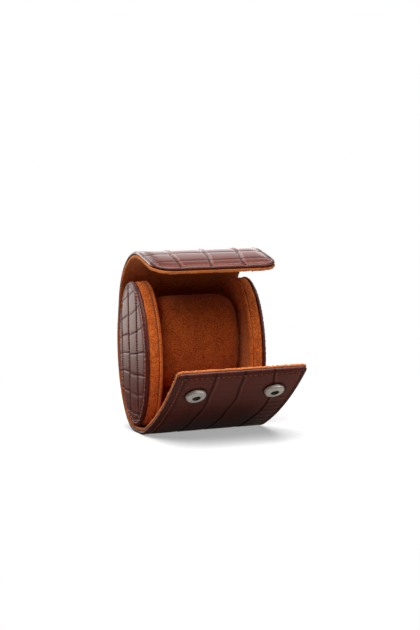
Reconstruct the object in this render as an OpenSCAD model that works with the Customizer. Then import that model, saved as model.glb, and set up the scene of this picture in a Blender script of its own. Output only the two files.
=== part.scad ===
// Roll-shaped travel case for one watch.
// A leather band with a suede lining runs under, behind and over two oval padded drums.
// Its two free ends are flaps: the lower one closes upward, the upper one closes over it,
// and two press studs hold them. A removable pillow carries the watch between the drums.
// X runs along the case, -Y is the open front, +Z is up.
// The origin is the centre of the flat that the case stands on.

/* [Band] */
// Width of the case over both side panels
case_w = 82.4; // [70:0.2:110]
// Thickness of the leather of the band
leather_t = 2.2; // [1.8:0.1:3]
// Thickness of the suede lining of the band
lining_t = 1.4; // [0.8:0.1:2]
// Thickness of the stiffener inside the rigid back
board_t = 0.8; // [0.5:0.1:1.2]
// Depth of the flat that the case stands on
flat_depth = 12; // [10:0.5:14]

/* [Drums] */
// Depth of the oval drums, front to back
drum_depth = 62.4; // [54:0.4:66]
// Height of the oval drums
drum_height = 94.4; // [86:0.4:100]
// Thickness of a leather side panel at its centre
panel_t = 2.9; // [2.4:0.1:4]
// How far the face of a side panel falls towards its rim
crown = 0.9; // [0.3:0.1:1.2]
// Radius of the turned rim of a side panel
rim_r = 1.2; // [0.6:0.1:1.5]
// Thickness of the board under a side panel
panel_board_t = 1.2; // [0.8:0.1:1.3]
// Width of the suede wall of a drum
wall_w = 6.5; // [5:0.5:9]
// Thickness of the suede wall of a drum
wall_t = 1.8; // [1.2:0.1:3]
// Thickness of the padded inner face of a drum
face_t = 2.3; // [1.8:0.1:3]
// How far the suede wall stays inside the turned rim
wall_inset = 0.5; // [0.2:0.1:1]

/* [Upper flap] */
// Height above the drum centre where the band leaves the drums
leave_angle = 25.7; // [20:0.1:30]
// Straight stretch before the upper flap starts to bend
rise = 14.5; // [12:0.5:16]
// Length of the bend over the drums
bend_len = 67.5; // [60:0.5:74]
// Angle of the bend over the drums
bend_turn = 87; // [80:1:92]
// Length of the flap beyond the bend
brow_len = 33.5; // [28:0.5:40]
// Further droop of the flap beyond the bend
brow_turn = 1.5; // [0:0.5:6]
// Radius of its two front corners
brow_corner_r = 13; // [6:0.5:18]

/* [Lower flap] */
// Length of the curve by which the lower flap leaves the flat
sweep_len = 15; // [12:1:20]
// Angle of that curve
sweep_turn = 21; // [16:0.5:24]
// Length of the lower flap beyond that curve
apron_len = 82; // [76:1:88]
// Further rise of the lower flap along its length
apron_turn = 20; // [14:0.5:24]
// Radius of its two front corners
apron_corner_r = 3; // [1:0.5:8]

/* [Bends] */
// Where the upper flap bends, measured along it from its root
top_bend_1 = 29; // [26:1:34]
// Where the upper flap bends a third time
top_bend_2 = 67; // [60:1:72]
// Where the lower flap bends, measured along it from its root
low_bend_1 = 31; // [26:1:36]
// Where the lower flap bends a third time
low_bend_2 = 64; // [58:1:66]
// Clearance in a bend between one stretch of a flap and the next
bend_gap = 0.35; // [0.3:0.05:0.5]

/* [Press studs] */
// Distance between the two press studs
snap_pitch = 50.6; // [40:0.2:60]
// Distance of a socket from the edge of the lower flap
socket_from_edge = 21.5; // [18:0.5:24]
// Diameter of a socket
socket_d = 12.5; // [10:0.1:14]
// Height of a socket over the leather
socket_h = 2.8; // [2.6:0.1:3.2]
// Diameter of the mouth of a socket
mouth_d = 5; // [4.6:0.1:5.6]
// Distance of a stud from the edge of the upper flap
stud_from_edge = 9.6; // [8:0.1:14]
// Diameter of the head of a stud
stud_d = 3.8; // [3.2:0.1:4]
// Height of a stud over its base
stud_h = 1.7; // [1.4:0.1:1.8]
// Diameter of the base of a stud
stud_base_d = 9; // [8:0.1:10]
// Diameter of the rivet behind a socket or a stud
rivet_d = 3; // [2.4:0.1:3.2]
// Diameter of the hidden head of a rivet
rivet_head_d = 7.6; // [6:0.1:9]

/* [Pillow] */
// Depth of the pillow, front to back
pillow_depth = 42; // [34:1:44]
// Height of the pillow
pillow_height = 60; // [50:1:60]
// Roundness of the pillow's section, 2 for an ellipse
pillow_power = 2.4; // [2:0.1:2.6]
// Radius of the pillow's soft shoulders
shoulder_r = 10; // [6:0.5:12]
// Thickness of the pillow's suede cover
cover_t = 1.4; // [1:0.1:2]
// Free space between the pillow and each drum
pillow_gap = 0.3; // [0.2:0.05:1]
// How far the pillow sits in front of the drums' centre
pillow_forward = 1; // [0.6:0.1:1.6]
// How far the pillow sits above the drums' centre
pillow_lift = 7; // [6:0.5:7.5]

/* [Hidden] */

leather_brown = [0.27, 0.12, 0.09];
suede_tan = [0.72, 0.36, 0.13];
board_grey = [0.55, 0.50, 0.44];
foam_cream = [0.85, 0.80, 0.68];
nickel = [0.78, 0.77, 0.74];

band_t = leather_t + lining_t;
knuckle_r = band_t / 2;
seat_gap = 0.05;          // paper-thin space where one stiff piece lies against another
drum_gap = 0.3;           // space between the drums and the lining around them
curve_step = 2.5;         // length of one flat along a curved stretch
knuckle_sides = 48;       // sides of a bend's half-round
turned_sides = 64;        // sides of the turned metal caps
rivet_sides = 32;         // sides of a rivet
oval_steps = 72;          // sides of the drums' outlines
pillow_steps = 48;        // sides of the pillow's section
more = 1;                 // how far a cutter reaches past what it cuts

// The drums: semi-axes of their oval and of the lining's inner face, and the centre.
drum_a = drum_depth / 2;
drum_b = drum_height / 2;
fit_a = drum_a + drum_gap;
fit_b = drum_b + drum_gap;
oval_dip = 0.1;           // how far the oval reaches below the lining of the flat
drum_z = band_t + fit_b - oval_dip;
join_t = -75;             // where the rounded foot of the band meets the oval

// A point on the outside of the band where it follows the oval, with its heading.
function oval_normal(t) = atan2(sin(t) / fit_b, cos(t) / fit_a);
function oval_out(t) = [
    fit_a * cos(t) + band_t * cos(oval_normal(t)),
    drum_z + fit_b * sin(t) + band_t * sin(oval_normal(t)),
    oval_normal(t) + 90
];

// The foot: the flat ends where an arc starts that meets the oval without a corner.
foot_join = oval_out(join_t);
foot_turn = foot_join[2];
foot_r = foot_join[1] / (1 - cos(foot_turn));
foot_len = foot_r * foot_turn * PI / 180;
drum_y = flat_depth / 2 + foot_r * sin(foot_turn) - foot_join[0];

// The end of an arc that starts at p = [y, z, heading].
function arc_end(p, len, turn) =
    abs(turn) < 0.001
        ? [p[0] + len * cos(p[2]), p[1] + len * sin(p[2]), p[2]]
        : let (r = len / turn * 180 / PI)
          [p[0] + r * (sin(p[2] + turn) - sin(p[2])), p[1] - r * (cos(p[2] + turn) - cos(p[2])), p[2] + turn];

// The point at a distance s along a run of arcs, each given as [length, turn].
function along(p, run, s, i = 0) =
    i == len(run) - 1 || s <= run[i][0]
        ? arc_end(p, s, run[i][1] * s / run[i][0])
        : along(arc_end(p, run[i][0], run[i][1]), run, s - run[i][0], i + 1);

// Stations from s1 to s2 along a run.
function stations(p, run, s1, s2) =
    let (n = max(1, ceil((s2 - s1) / curve_step)))
    [for (i = [0 : n]) along(p, run, s1 + (s2 - s1) * i / n)];

// The point at a depth into the band. side is +1 where the inside lies left of the heading.
function inward(p, depth, side) = [p[0] - side * depth * sin(p[2]), p[1] + side * depth * cos(p[2])];

// The outline of one layer of the band between two depths.
function layer(path, d1, d2, side) = concat(
    [for (p = path) inward(p, d1, side)],
    [for (i = [len(path) - 1 : -1 : 0]) inward(path[i], d2, side)]
);

// The rigid part of the band: flat, foot, oval back and the straight rise behind the drums.
foot_start = [-flat_depth / 2, 0, 0];
foot_run = [[flat_depth, 0], [foot_len, foot_turn]];
rise_start = let (p = oval_out(leave_angle)) [p[0] + drum_y, p[1], p[2]];
oval_n = ceil((leave_angle - join_t) * PI / 180 * fit_b / curve_step);
shell_path = concat(
    stations(foot_start, foot_run, 0, flat_depth + foot_len),
    [for (i = [1 : oval_n - 1])
        let (p = oval_out(join_t + (leave_angle - join_t) * i / oval_n)) [p[0] + drum_y, p[1], p[2]]],
    stations(rise_start, [[rise, 0]], 0, rise)
);

// The flaps start at the ends of the rigid part.
top_start = arc_end(rise_start, rise, 0);
top_run = [[bend_len, bend_turn], [brow_len, brow_turn]];
top_len = bend_len + brow_len;
low_start = [-flat_depth / 2, 0, 180];
low_run = [[sweep_len, -sweep_turn], [apron_len, -apron_turn]];
low_len = sweep_len + apron_len;
TOP = 1;
LOW = -1;

// Centres of the bends, at half the thickness of the band.
function top_pivot(s) = inward(along(top_start, top_run, s), knuckle_r, TOP);
function low_pivot(s) = inward(along(low_start, low_run, s), knuckle_r, LOW);

// Extrudes a section drawn in the Y-Z plane over the width of the case.
module across(w = case_w) {
    rotate([90, 0, 90])
        linear_extrude(w, center = true)
            children();
}

// One layer of one stretch of a flap. It starts with a half-round that turns in the
// hollow end of the stretch before it.
module stretch(start, run, side, s1, s2, d1, d2, last) {
    pivot = inward(along(start, run, s1), knuckle_r, side);
    next = inward(along(start, run, s2), knuckle_r, side);
    difference() {
        union() {
            polygon(layer(stations(start, run, s1, s2), d1, d2, side));
            intersection() {
                polygon(layer(stations(start, run, s1 - knuckle_r, s1 + more), d1, d2, side));
                translate(pivot) circle(knuckle_r, $fn = knuckle_sides);
            }
        }
        if (!last) {
            translate(next) circle(knuckle_r + bend_gap, $fn = knuckle_sides);
        }
    }
}

module top_stretch(s1, s2, d1, d2, last = false) {
    across() stretch(top_start, top_run, TOP, s1, s2, d1, d2, last);
}

module low_stretch(s1, s2, d1, d2, last = false) {
    across() stretch(low_start, low_run, LOW, s1, s2, d1, d2, last);
}

// Puts children at a station of a flap with +Y along the flap to its free edge and +Z
// across its thickness: into the case on the upper flap, out of it on the lower one.
module at_station(p) {
    translate([0, p[0], p[1]])
        rotate([p[2], 0, 0])
            children();
}

// The plan of a flap's end with two round corners, seen along its thickness.
function corner_plan(back, r) = concat(
    [[-case_w / 2, -back], [case_w / 2, -back]],
    [for (a = [0 : 10 : 90]) [case_w / 2 - r + r * cos(a), r * sin(a)]],
    [for (a = [90 : 10 : 180]) [-case_w / 2 + r + r * cos(a), r * sin(a)]]
);

// Rounds the two corners at the free edge of a flap.
module rounded_end(start, run, len, r) {
    reach = 4 * band_t;
    intersection() {
        children();
        at_station(along(start, run, len - r))
            translate([0, 0, -reach])
                linear_extrude(2 * reach)
                    polygon(corner_plan(len, r));
    }
}

// Puts children at both press studs of a flap, at a distance from its free edge.
module at_snaps(start, run, len, from_edge) {
    for (x = [-snap_pitch / 2, snap_pitch / 2])
        translate([x, 0, 0])
            at_station(along(start, run, len - from_edge))
                children();
}

// Closed solid through a list of rings, each given as [x, inset], on an oval outline.
module loft(rings, a, b, power, n) {
    points = [
        for (r = rings)
            for (i = [0 : n - 1])
                let (c = cos(360 * i / n), s = sin(360 * i / n))
                [
                    r[0],
                    (a - r[1]) * sign(c) * pow(abs(c), 2 / power),
                    (b - r[1]) * sign(s) * pow(abs(s), 2 / power)
                ]
    ];
    sides = [
        for (k = [0 : len(rings) - 2])
            for (i = [0 : n - 1])
                let (j = (i + 1) % n)
                [k * n + i, k * n + j, (k + 1) * n + j, (k + 1) * n + i]
    ];
    first = [for (i = [0 : n - 1]) i];
    last = [for (i = [n - 1 : -1 : 0]) (len(rings) - 1) * n + i];
    polyhedron(points, concat([last, first], [for (f = sides) [f[3], f[2], f[1], f[0]]]));
}

// A flat oval plate from x1 to x2, smaller than the drum by an inset.
module oval_plate(x1, x2, inset) {
    translate([x1, 0, 0])
        rotate([90, 0, 90])
            linear_extrude(x2 - x1)
                polygon([
                    for (i = [0 : oval_steps - 1])
                        let (t = 360 * i / oval_steps)
                        [(drum_a - inset) * cos(t), (drum_b - inset) * sin(t)]
                ]);
}

// ---- The rigid back of the band ----

module shell_layer(d1, d2) {
    low = low_pivot(0);
    top = top_pivot(0);
    across()
        difference() {
            polygon(layer(shell_path, d1, d2, TOP));
            translate(low) circle(knuckle_r + bend_gap, $fn = knuckle_sides);
            translate(top) circle(knuckle_r + bend_gap, $fn = knuckle_sides);
        }
}

module shell_leather() {
    color(leather_brown) shell_layer(0, leather_t - board_t);
}

module shell_board() {
    color(board_grey) shell_layer(leather_t - board_t, leather_t);
}

module shell_lining() {
    color(suede_tan) shell_layer(leather_t, band_t);
}

// ---- The drums, drawn for the right side and mirrored for the left ----

panel_in = case_w / 2 - panel_t;      // inner side of a leather panel
panel_edge = case_w / 2 - crown;      // outer side of the panel at its rim
face_out = panel_in - wall_w;         // where the inner face starts
face_in = face_out - face_t;          // the drum's side towards the pillow
turn_in = 1.8;                        // leather turned round the edge of the board
board_inset = rim_r + turn_in;
crown_reach = 0.8;                    // part of the way to the middle where the crown is full
face_round = 1.4;                     // largest rounding of the inner face's edge
face_straight = 0.4;                  // least straight side left behind that rounding
rim_steps = 4;
crown_steps = 4;

module on_side(left) {
    translate([0, drum_y, drum_z])
        mirror([left ? 1 : 0, 0, 0])
            children();
}

// Rings of the panel: a turned rim, then a face that rises to the crown.
function panel_rings() = concat(
    [[panel_in, 0]],
    [for (i = [0 : rim_steps])
        let (a = 90 * i / rim_steps)
        [panel_edge - rim_r + rim_r * sin(a), rim_r * (1 - cos(a))]],
    [for (i = [1 : crown_steps])
        let (u = i / crown_steps)
        [panel_edge + crown * sin(90 * u), rim_r + crown_reach * u * (drum_a - rim_r)]]
);

module panel_leather(left) {
    color(leather_brown)
        on_side(left)
            difference() {
                loft(panel_rings(), drum_a, drum_b, 2, oval_steps);
                oval_plate(panel_in - more, panel_in + panel_board_t, board_inset);
            }
}

module panel_board(left) {
    color(board_grey)
        on_side(left)
            oval_plate(panel_in, panel_in + panel_board_t - seat_gap, board_inset + seat_gap);
}

module drum_wall(left) {
    color(suede_tan)
        on_side(left)
            difference() {
                oval_plate(face_out, panel_in, wall_inset);
                oval_plate(face_out - more, panel_in + more, wall_inset + wall_t);
            }
}

module drum_core(left) {
    color(foam_cream)
        on_side(left)
            oval_plate(face_out, panel_in, wall_inset + wall_t + seat_gap);
}

// Rings of the inner face: its inner edge is rounded, as of a covered board.
face_edge_r = min(face_round, face_t - face_straight);
module drum_face(left) {
    color(suede_tan)
        on_side(left)
            loft(
                concat(
                    [for (i = [0 : rim_steps])
                        let (a = 90 * i / rim_steps)
                        [face_in + face_edge_r * (1 - cos(a)), face_edge_r * (1 - sin(a))]],
                    [[face_out, 0]]
                ),
                drum_a, drum_b, 2, oval_steps
            );
}

module left_panel_leather() { panel_leather(true); }
module left_panel_board() { panel_board(true); }
module left_drum_wall() { drum_wall(true); }
module left_drum_core() { drum_core(true); }
module left_drum_face() { drum_face(true); }
module right_panel_leather() { panel_leather(false); }
module right_panel_board() { panel_board(false); }
module right_drum_wall() { drum_wall(false); }
module right_drum_core() { drum_core(false); }
module right_drum_face() { drum_face(false); }

// ---- The upper flap, in three stretches ----

module top_leather_a() {
    color(leather_brown) top_stretch(0, top_bend_1, 0, leather_t);
}

module top_leather_b() {
    color(leather_brown) top_stretch(top_bend_1, top_bend_2, 0, leather_t);
}

module top_leather_c() {
    color(leather_brown)
        difference() {
            rounded_end(top_start, top_run, top_len, brow_corner_r)
                top_stretch(top_bend_2, top_len, 0, leather_t, true);
            at_snaps(top_start, top_run, top_len, stud_from_edge)
                rivet_pocket(leather_t - rivet_head_t, leather_t + more);
        }
}

module top_lining_a() {
    color(suede_tan) top_stretch(0, top_bend_1, leather_t, band_t);
}

module top_lining_b() {
    color(suede_tan) top_stretch(top_bend_1, top_bend_2, leather_t, band_t);
}

module top_lining_c() {
    color(suede_tan)
        difference() {
            rounded_end(top_start, top_run, top_len, brow_corner_r)
                top_stretch(top_bend_2, top_len, leather_t, band_t, true);
            at_snaps(top_start, top_run, top_len, stud_from_edge)
                rivet_bore(leather_t - more, band_t + more);
        }
}

// ---- The lower flap, in three stretches ----

module low_leather_a() {
    color(leather_brown) low_stretch(0, low_bend_1, 0, leather_t);
}

module low_leather_b() {
    color(leather_brown) low_stretch(low_bend_1, low_bend_2, 0, leather_t);
}

module low_leather_c() {
    color(leather_brown)
        difference() {
            rounded_end(low_start, low_run, low_len, apron_corner_r)
                low_stretch(low_bend_2, low_len, 0, leather_t, true);
            at_snaps(low_start, low_run, low_len, socket_from_edge) {
                rivet_bore(-leather_t - more, more);
                rivet_pocket(-leather_t - more, -leather_t + rivet_head_t);
            }
        }
}

module low_lining_a() {
    color(suede_tan) low_stretch(0, low_bend_1, leather_t, band_t);
}

module low_lining_b() {
    color(suede_tan) low_stretch(low_bend_1, low_bend_2, leather_t, band_t);
}

module low_lining_c() {
    color(suede_tan)
        rounded_end(low_start, low_run, low_len, apron_corner_r)
            low_stretch(low_bend_2, low_len, leather_t, band_t, true);
}

// ---- The press studs ----

rivet_r = rivet_d / 2;
rivet_play = 0.1;         // space around a rivet, on its radius
rivet_head_t = 0.5;       // thickness of the hidden head of a rivet
flare_t = 0.3;            // thickness of the rivet's flared end
flare_w = 0.5;            // how far that end spreads past the rivet
socket_floor = 0.8;       // height of the floor inside a socket
cap_bevel = 0.3;          // bevel at the foot of a socket
cap_side = 0.8;           // height of the straight side of a socket
cap_shoulder = 1.5;       // width of the rounded shoulder of a socket
cap_rise = 0.25;          // how far the top of a socket still rises to its mouth
cap_steps = 5;
mouth_bevel = 0.35;       // bevel round the mouth of a socket
lip_t = 0.6;              // thickness of the lip under that bevel
chamber_w = 0.7;          // how far the chamber for the spring reaches under the lip
spring_wire = 0.5;        // thickness of the ring spring inside a socket
spring_open = 60;         // angle left open in the ring spring
wire_sides = 16;          // sides of the spring's wire
stud_base_t = 0.5;        // thickness of the base of a stud
stud_bore = 0.35;         // depth of the hole in the base of a stud
base_bevel = 0.2;         // bevel at the foot of the base
base_slope = 0.5;         // width of the slope on the base
// The button of a stud: change of its radius, and height as a part of stud_h.
button_shape = [[-0.3, 0], [-0.35, 0.5], [0, 0.72], [-0.12, 0.9], [-0.6, 1]];

module rivet_bore(z1, z2) {
    translate([0, 0, z1])
        cylinder(h = z2 - z1, r = rivet_r + rivet_play, $fn = rivet_sides);
}

module rivet_pocket(z1, z2) {
    translate([0, 0, z1])
        cylinder(h = z2 - z1, r = rivet_head_d / 2 + rivet_play, $fn = turned_sides);
}

// A rivet from z1 to z2, with its hidden head above z1.
module rivet(z1, z2) {
    translate([0, 0, z1]) {
        cylinder(h = rivet_head_t - seat_gap, r = rivet_head_d / 2, $fn = turned_sides);
        cylinder(h = z2 - z1, r = rivet_r, $fn = rivet_sides);
    }
}

// A socket: a low cap with a rounded shoulder, a mouth, and a chamber for its spring.
module socket() {
    r = socket_d / 2;
    mouth_r = mouth_d / 2;
    shoulder_h = socket_h - cap_rise - cap_side;
    lip_z = socket_h - mouth_bevel - lip_t;
    rotate_extrude($fn = turned_sides)
        polygon(concat(
            [[rivet_r + rivet_play, seat_gap], [r - cap_bevel, seat_gap], [r, seat_gap + cap_bevel]],
            [for (i = [0 : cap_steps])
                let (a = 90 * i / cap_steps)
                [r - cap_shoulder * (1 - cos(a)), cap_side + shoulder_h * sin(a)]],
            [[mouth_r + mouth_bevel, socket_h], [mouth_r, socket_h - mouth_bevel], [mouth_r, lip_z]],
            [[mouth_r + chamber_w, lip_z], [mouth_r + chamber_w, socket_floor]],
            [[rivet_r + rivet_play, socket_floor]]
        ));
}

module snap_sockets() {
    color(nickel)
        at_snaps(low_start, low_run, low_len, socket_from_edge)
            socket();
}

module socket_springs() {
    color(nickel)
        at_snaps(low_start, low_run, low_len, socket_from_edge)
            translate([0, 0, socket_floor + flare_t + spring_wire / 2])
                rotate([0, 0, spring_open / 2])
                    rotate_extrude(angle = 360 - spring_open, $fn = turned_sides)
                        translate([(mouth_d + spring_wire) / 2, 0])
                            circle(spring_wire / 2, $fn = wire_sides);
}

module socket_rivets() {
    color(nickel)
        at_snaps(low_start, low_run, low_len, socket_from_edge) {
            rivet(-leather_t, socket_floor + flare_t);
            translate([0, 0, socket_floor])
                cylinder(h = flare_t, r = rivet_r + flare_w, $fn = rivet_sides);
        }
}

// A stud: a flat base with a waisted button that snaps past the spring.
module stud() {
    r = stud_d / 2;
    base_r = stud_base_d / 2;
    rotate_extrude($fn = turned_sides)
        polygon(concat(
            [[0, stud_bore], [rivet_r + rivet_play, stud_bore], [rivet_r + rivet_play, seat_gap]],
            [[base_r - base_bevel, seat_gap], [base_r, seat_gap + base_bevel]],
            [[base_r - base_slope, stud_base_t]],
            [for (b = button_shape) [r + b[0], stud_base_t + b[1] * stud_h]],
            [[0, stud_base_t + stud_h]]
        ));
}

module snap_studs() {
    color(nickel)
        at_snaps(top_start, top_run, top_len, stud_from_edge)
            translate([0, 0, band_t])
                stud();
}

module stud_rivets() {
    color(nickel)
        at_snaps(top_start, top_run, top_len, stud_from_edge)
            rivet(leather_t - rivet_head_t + seat_gap, band_t + stud_bore - seat_gap);
}

// ---- The pillow ----

pillow_y = drum_y - pillow_forward;
pillow_z = drum_z + pillow_lift;
pillow_half = face_in - pillow_gap;
shoulder_steps = 4;

// Rings of the pillow: flat middle, and shoulders that round in towards both ends.
function pillow_rings(half, r) = concat(
    [for (i = [0 : shoulder_steps])
        let (a = 90 * i / shoulder_steps)
        [-half + r * (1 - cos(a)), r * (1 - sin(a))]],
    [for (i = [shoulder_steps : -1 : 0])
        let (a = 90 * i / shoulder_steps)
        [half - r * (1 - cos(a)), r * (1 - sin(a))]]
);

module pillow_body(inset) {
    translate([0, pillow_y, pillow_z])
        loft(
            pillow_rings(pillow_half - inset, shoulder_r - inset / 2),
            pillow_depth / 2 - inset,
            pillow_height / 2 - inset,
            pillow_power,
            pillow_steps
        );
}

module pillow_cover() {
    color(suede_tan)
        difference() {
            pillow_body(0);
            pillow_body(cover_t);
        }
}

module pillow_core() {
    color(foam_cream) pillow_body(cover_t + seat_gap);
}

shell_leather();
shell_board();
shell_lining();
left_panel_leather();
left_panel_board();
left_drum_wall();
left_drum_core();
left_drum_face();
right_panel_leather();
right_panel_board();
right_drum_wall();
right_drum_core();
right_drum_face();
top_leather_a();
top_leather_b();
top_leather_c();
top_lining_a();
top_lining_b();
top_lining_c();
low_leather_a();
low_leather_b();
low_leather_c();
low_lining_a();
low_lining_b();
low_lining_c();
snap_sockets();
socket_springs();
socket_rivets();
snap_studs();
stud_rivets();
pillow_cover();
pillow_core();
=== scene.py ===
# %% [markdown]
# # A roll-shaped travel case for one watch
#
# The case is a band of glossy embossed leather, lined with suede, that runs under, behind and
# over two oval drums. Its free ends are two flaps. We first load the measured frame, because
# every piece that we dress here has to lie on a solid of that frame. Lengths below are written
# in millimetres and turned into metres only when a mesh is made.

# %% Load the frame
import math
import bpy
import numpy as np
from mathutils import Matrix, Vector


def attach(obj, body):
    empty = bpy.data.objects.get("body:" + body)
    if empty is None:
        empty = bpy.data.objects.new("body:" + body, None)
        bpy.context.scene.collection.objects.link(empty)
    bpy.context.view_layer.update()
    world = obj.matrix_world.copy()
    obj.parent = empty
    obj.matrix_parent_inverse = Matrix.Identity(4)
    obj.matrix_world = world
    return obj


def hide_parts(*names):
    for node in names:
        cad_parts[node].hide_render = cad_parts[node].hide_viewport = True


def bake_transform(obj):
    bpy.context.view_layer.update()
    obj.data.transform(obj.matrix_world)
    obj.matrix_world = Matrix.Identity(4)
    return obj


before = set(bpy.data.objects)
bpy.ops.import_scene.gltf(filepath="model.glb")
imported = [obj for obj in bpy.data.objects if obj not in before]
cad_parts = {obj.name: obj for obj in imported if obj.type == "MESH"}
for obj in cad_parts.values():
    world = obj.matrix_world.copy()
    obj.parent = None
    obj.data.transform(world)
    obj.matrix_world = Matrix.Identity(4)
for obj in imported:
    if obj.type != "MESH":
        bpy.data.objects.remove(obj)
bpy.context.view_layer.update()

MM, CM = 0.001, 0.01

# %% [markdown]
# ## Writing shaders as sums
#
# A finish is easier to read as an expression than as a chain of node calls. The class below wraps
# one socket, and its operators add Math nodes, so that `1 - wear * 0.3` works as it reads.
# Every other node comes from one method of `Finish`: it takes the type, the settings, which
# are set first, and then the values or links of the sockets.

# %% A socket with arithmetic
class Value:
    """One socket of a finish, which takes part in sums as a number does."""

    def __init__(self, finish, socket):
        self.finish = finish
        self.socket = socket

    def math(self, operation, *others):
        return self.finish.sum(operation, self, *others)

    def __add__(self, other): return self.math("ADD", other)
    def __radd__(self, other): return self.math("ADD", other)
    def __sub__(self, other): return self.math("SUBTRACT", other)
    def __rsub__(self, other): return self.finish.sum("SUBTRACT", other, self)
    def __mul__(self, other): return self.math("MULTIPLY", other)
    def __rmul__(self, other): return self.math("MULTIPLY", other)
    def __truediv__(self, other): return self.math("DIVIDE", other)
    def __rtruediv__(self, other): return self.finish.sum("DIVIDE", other, self)

    def clipped(self, top=1.0):
        return self.math("MAXIMUM", 0.0).math("MINIMUM", top)


# %% A finish and its nodes
class Finish:
    """The nodes of one new material, or of the owner that is given, such as the world."""

    def __init__(self, name=None, owner=None):
        self.owner = owner or bpy.data.materials.new(name)
        self.owner.use_nodes = True
        self.tree = self.owner.node_tree
        self.tree.nodes.clear()

    def node(self, kind, settings=None, inputs=None, output=0):
        made = self.tree.nodes.new(kind)
        for key, value in (settings or {}).items():
            setattr(made, key, value)
        for key, value in (inputs or {}).items():
            if isinstance(value, Value):
                self.tree.links.new(value.socket, made.inputs[key])
            else:
                made.inputs[key].default_value = value
        return Value(self, made.outputs[output]) if made.outputs else made

    def sum(self, operation, *terms):
        return self.node("ShaderNodeMath", {"operation": operation}, dict(enumerate(terms)))

    def mark(self, name):
        return self.node("ShaderNodeAttribute", {"attribute_name": name}, output="Fac")

    def point(self):
        """The place of a point in the case, in metres."""
        return self.node("ShaderNodeTexCoord", output="Object")

    def place(self, solid=False):
        """Where the pattern lies, in cm: on the flat hide, or fixed in a rigid piece."""
        if not solid:
            return self.node("ShaderNodeUVMap", {"uv_map": "flat"})
        return self.node("ShaderNodeVectorMath", {"operation": "SCALE"},
                         {0: self.point(), "Scale": 1 / CM})

    def along(self, where, axis):
        return self.node("ShaderNodeSeparateXYZ", {}, {0: where}, output=axis)

    def towards(self, where, direction):
        return self.node("ShaderNodeVectorMath", {"operation": "DOT_PRODUCT"},
                         {0: where, 1: direction}, output="Value")

    def noise(self, where, scale, detail=4.0, roughness=0.5):
        """Clouds, with their size in units of the place, and how much detail they hold."""
        return self.node("ShaderNodeTexNoise", {}, {
            "Vector": where, "Scale": scale, "Detail": detail, "Roughness": roughness})

    def cracks(self, where, scale):
        """Distance to the nearest line of a net of cells."""
        return self.node("ShaderNodeTexVoronoi", {"feature": "DISTANCE_TO_EDGE"},
                         {"Vector": where, "Scale": scale})

    def mix(self, factor, first, second):
        return self.node("ShaderNodeMix", {"data_type": "RGBA"}, {0: factor, 6: first, 7: second},
                         output=2)

    def bump(self, height, deep, strength):
        """A relief for the shading only, as deep as given, in mm."""
        return self.node("ShaderNodeBump", {}, {
            "Height": height, "Distance": deep * MM, "Strength": strength})

    def surface(self, **inputs):
        named = {key.replace("_", " "): value for key, value in inputs.items()}
        shader = self.node("ShaderNodeBsdfPrincipled", {}, named)
        self.node("ShaderNodeOutputMaterial", {}, {"Surface": shader})
        return self.owner


# %% Colours
SCREEN_GAMMA = 2.2


def colour(red, green, blue):
    """A colour given as it looks on a screen, 0 to 255, turned into the shader's own scale."""
    linear = [(c / 255) ** SCREEN_GAMMA for c in (red, green, blue)]
    return (*linear, 1.0)


def shaded_tone(tone, part):
    """A painted shade: the same colour with only a part of its light, as at the bottom of a groove.
    """
    return (*[c * part for c in tone[:3]], 1.0)

# %% [markdown]
# ## The finishes
#
# The leather is calf, embossed with large rectangular scales and glazed: a brown base, with painted
# shade in the grooves, creases and wrinkles, under a clear glaze, which is the Principled shader's
# coat. The glaze is thick on the upper flap only, and thins towards its lip, where a thumb lifts
# it.
# Beside each long groove stands a low ridge, with a painted highlight along its top. The height of
# the scales is real geometry, and each mesh carries the marks `groove`, `bead` and `ridge`, which
# tell the shader where they are.
# Coordinates come from a UV map called `flat`, in centimetres along the hide, so the grain
# doesn't swim when a flap bends.

# %% Leather
MARKS = ("groove", "bead", "ridge")
GLAZE_FROM, GLAZE_TO = 27.0, 32.0
GLAZE_GROWS, GLAZE_FADES = 2.0, 0.4
GLAZE_THICK, GLAZE_THIN, GLAZE_ON_BEAD = 0.85, 0.06, 0.2


def leather_finish(name, base, dark, rim, ridge_highlight, roughness):
    look = Finish(name)
    where = look.place()
    cloud = look.noise(where, scale=1.6, detail=3.0)
    mottle = look.noise(where, scale=9.0, detail=5.0, roughness=0.6)
    pores = look.noise(where, scale=95.0, detail=3.0, roughness=0.6)
    groove, bead, ridge = (look.mark(name) for name in MARKS)
    gathers = (1 - look.cracks(where, scale=8.5) * 7.0).clipped() * bead
    tone = look.mix((cloud * 0.55 + mottle * 0.45 - 0.2).clipped(), dark, base)
    tone = look.mix((bead * 0.85).clipped(), tone, rim)
    # Painted highlight: the top of the ridge beside each long groove is painted paler, in place of
    # its glint.
    tone = look.mix((ridge * (mottle * 0.9 + 0.1)).clipped(), tone, ridge_highlight)
    # Painted shade: grooves, creases, seam channels and the wrinkles of the turned edge are
    # darkened.
    tone = look.mix((groove * 0.9 + gathers * 0.7).clipped(), tone, shaded_tone(dark, 0.2))
    rough = (mottle * 0.16 + groove * 0.3 + bead * 0.06 + roughness).clipped()
    creases = look.cracks(where, scale=26.0).math("SMOOTH_MIN", 0.12, 0.1)
    grain = creases * 0.8 + pores * 0.35 - gathers * 1.2
    along = look.along(where, "Y")
    thick = (((along - GLAZE_FROM) * GLAZE_GROWS).clipped()
             * ((GLAZE_TO - along) * GLAZE_FADES).clipped())
    glaze = (bead * GLAZE_ON_BEAD + thick * GLAZE_THICK + GLAZE_THIN).clipped()
    return look.surface(
        Base_Color=tone, Roughness=rough, IOR=1.5, Specular_IOR_Level=0.28,
        Specular_Tint=(1.0, 0.86, 0.76, 1.0), Coat_Weight=glaze, Coat_Roughness=0.2,
        Coat_IOR=1.5, Normal=look.bump(grain, deep=0.12, strength=0.5))


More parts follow.
